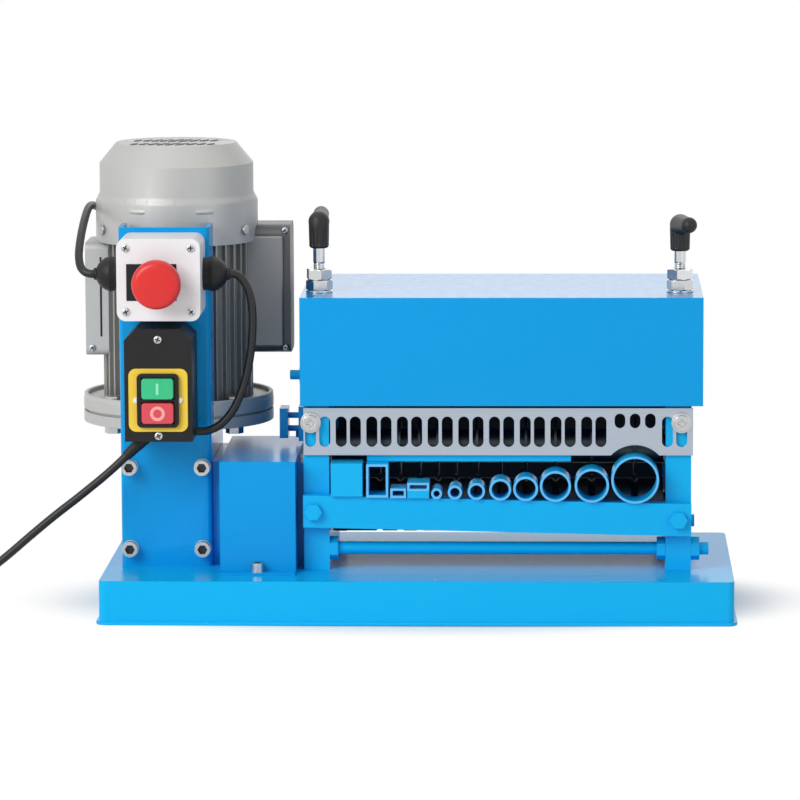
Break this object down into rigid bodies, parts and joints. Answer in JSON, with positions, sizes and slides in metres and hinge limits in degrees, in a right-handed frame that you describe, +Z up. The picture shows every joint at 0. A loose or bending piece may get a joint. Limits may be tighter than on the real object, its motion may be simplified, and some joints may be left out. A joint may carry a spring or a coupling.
{
  "type": "wire stripping machine",
  "caption": "Bench cable stripper: a geared motor turns a grooved feed roller under disc blades behind a row of guide tubes, with clamping levers that set the knife height.",
  "frame": {"origin": "centre of the machine's footprint on the bench", "axes": "+X to the operator's right, +Y away from the operator, +Z up"},
  "size_m": [0.7607, 0.266, 0.379],
  "materials": {
    "blue_paint": "glossy sprayed enamel",
    "silver_paint": "silver hammer paint",
    "grey_paint": "grey paint",
    "zinc": "bright zinc plating",
    "aluminium_plate": "milled aluminium",
    "steel": "turned steel",
    "bronze": "cut bronze",
    "laminations": "varnished laminations",
    "white_plastic": "moulded",
    "black_plastic": "moulded",
    "black_rubber": "moulded rubber",
    "red_plastic": "moulded",
    "yellow_plastic": "moulded",
    "green_plastic": "moulded"
  },
  "bodies": {
    "frame": {"base_tray": "blue_paint", "column_channel": "blue_paint", "drive_cover": "blue_paint", "left_side_plate": "blue_paint", "right_side_plate": "blue_paint", "front_crossbar": "blue_paint", "head_bolts": "blue_paint", "tie_rods": "blue_paint", "guide_tubes": "blue_paint", "tube_blocks": "blue_paint", "top_cover": "blue_paint", "side_bracket": "blue_paint", "gearbox_housing": "blue_paint", "rear_plate": "blue_paint", "motor_flange": "silver_paint", "motor_housing": "silver_paint", "fan_cover": "silver_paint", "capacitor_box": "silver_paint", "terminal_box": "grey_paint", "frame_bolts": "zinc", "fan_cover_screws": "zinc", "case_screws": "zinc", "guide_bolts": "zinc", "stud_nuts": "zinc", "ball_bearings": "steel", "motor_stator": "laminations", "estop_box": "white_plastic", "estop_lid": "white_plastic", "capacitors": "white_plastic", "estop_contacts": "black_plastic", "switch_box": "black_plastic", "switch_bezel": "black_plastic", "switch_contacts": "black_plastic", "power_plug": "black_plastic", "estop_domes": "black_rubber", "motor_lead": "black_rubber", "switch_lead": "black_rubber", "cord_gland": "black_rubber", "power_cord": "black_rubber", "cord_coil": "black_rubber", "estop_collar": "red_plastic", "switch_plate": "yellow_plastic"},
    "output": {"worm_wheel": "bronze", "output_shaft": "steel", "drive_gear": "steel"},
    "roller": {"feed_roller": "steel", "roller_gear": "steel"},
    "rotor": {"motor_rotor": "steel", "motor_fan": "aluminium_plate", "worm_shaft": "steel"},
    "knife_head": {"bearing_blocks": "steel"},
    "knives": {"knife_shaft": "steel", "knife_blades": "steel"},
    "lever_left": {"left_lever": "black_plastic"},
    "lever_right": {"right_lever": "black_plastic"},
    "guide": {"guide_plate": "aluminium_plate"},
    "stop_plunger": {"estop_plunger": "red_plastic"},
    "stop_cap": {"estop_cap": "red_plastic"},
    "start_push": {"start_button": "green_plastic"},
    "stop_push": {"stop_button": "red_plastic"}
  },
  "joints": [
    {"name": "motor_spin", "type": "hinge", "parent": "frame", "child": "rotor", "pos_m": [-0.193, 0.053, 0.2], "axis": [0, 0, 1], "continuous": true},
    {"name": "output_spin", "type": "hinge", "parent": "frame", "child": "output", "pos_m": [-0.193, 0.008, 0.085], "axis": [1, 0, 0], "continuous": true},
    {"name": "roller_spin", "type": "hinge", "parent": "frame", "child": "roller", "pos_m": [0.0775, -0.032, 0.085], "axis": [1, 0, 0], "continuous": true},
    {"name": "knife_height", "type": "slide", "parent": "frame", "child": "knife_head", "axis": [0, 0, 1], "range_m": [-0.002, 0.01]},
    {"name": "knife_spin", "type": "hinge", "parent": "knife_head", "child": "knives", "pos_m": [0.0775, -0.032, 0.134], "axis": [1, 0, 0], "continuous": true},
    {"name": "left_lever_turn", "type": "hinge", "parent": "knife_head", "child": "lever_left", "pos_m": [-0.069, -0.032, 0.3], "axis": [0, 0, 1], "range_deg": [-485, 2405]},
    {"name": "right_lever_turn", "type": "hinge", "parent": "knife_head", "child": "lever_right", "pos_m": [0.2275, -0.032, 0.3], "axis": [0, 0, 1], "range_deg": [-485, 2405]},
    {"name": "guide_height", "type": "slide", "parent": "frame", "child": "guide", "axis": [0, 0, 1], "range_m": [0, 0.014]},
    {"name": "stop_press", "type": "slide", "parent": "frame", "child": "stop_plunger", "axis": [0, 1, 0], "range_m": [0, 0.005]},
    {"name": "stop_twist", "type": "hinge", "parent": "stop_plunger", "child": "stop_cap", "pos_m": [-0.1955, -0.126, 0.278], "axis": [0, 1, 0], "range_deg": [0, 45]},
    {"name": "start_press", "type": "slide", "parent": "frame", "child": "start_push", "axis": [0, 1, 0], "range_m": [0, 0.003], "stiffness_N_per_m": 400},
    {"name": "off_press", "type": "slide", "parent": "frame", "child": "stop_push", "axis": [0, 1, 0], "range_m": [0, 0.003], "stiffness_N_per_m": 400}
  ],
  "couplings": [
    {"joint": "output_spin", "follows": "motor_spin", "ratio": 0.033333},
    {"joint": "roller_spin", "follows": "motor_spin", "ratio": -0.033333},
    {"joint": "left_lever_turn", "follows": "knife_height", "rad_per_m": 4188.8},
    {"joint": "right_lever_turn", "follows": "knife_height", "rad_per_m": 4188.8}
  ]
}
